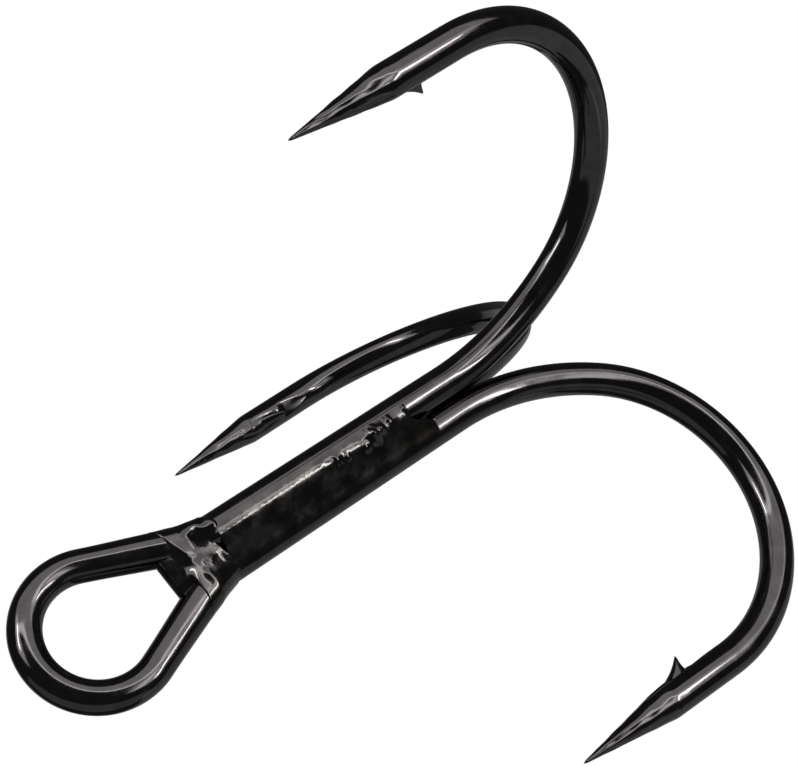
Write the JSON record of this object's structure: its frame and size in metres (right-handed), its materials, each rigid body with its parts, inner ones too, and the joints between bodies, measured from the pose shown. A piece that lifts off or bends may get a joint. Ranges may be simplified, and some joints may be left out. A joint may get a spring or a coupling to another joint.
{
  "type": "treble hook",
  "caption": "Treble fishing hook of round black wire: a double hook bent from one wire round its eye, with a single hook brazed between its shanks.",
  "frame": {"origin": "centre of the eye's ring", "axes": "+Z along the shanks towards the eye's top; +Y along the eye's hole, towards the side of the single hook; -X across the eye, the way the double hook's left-hand point stands"},
  "size_m": [0.0208, 0.0238, 0.0264],
  "materials": {
    "hook_wire": "black nickel plate, glossy",
    "braze": "braze under the same black nickel plate, slightly rougher"
  },
  "bodies": {
    "root": {"double_hook": "hook_wire", "single_hook": "hook_wire", "shank_braze": "braze", "throat_braze": "braze"}
  },
  "joints": []
}
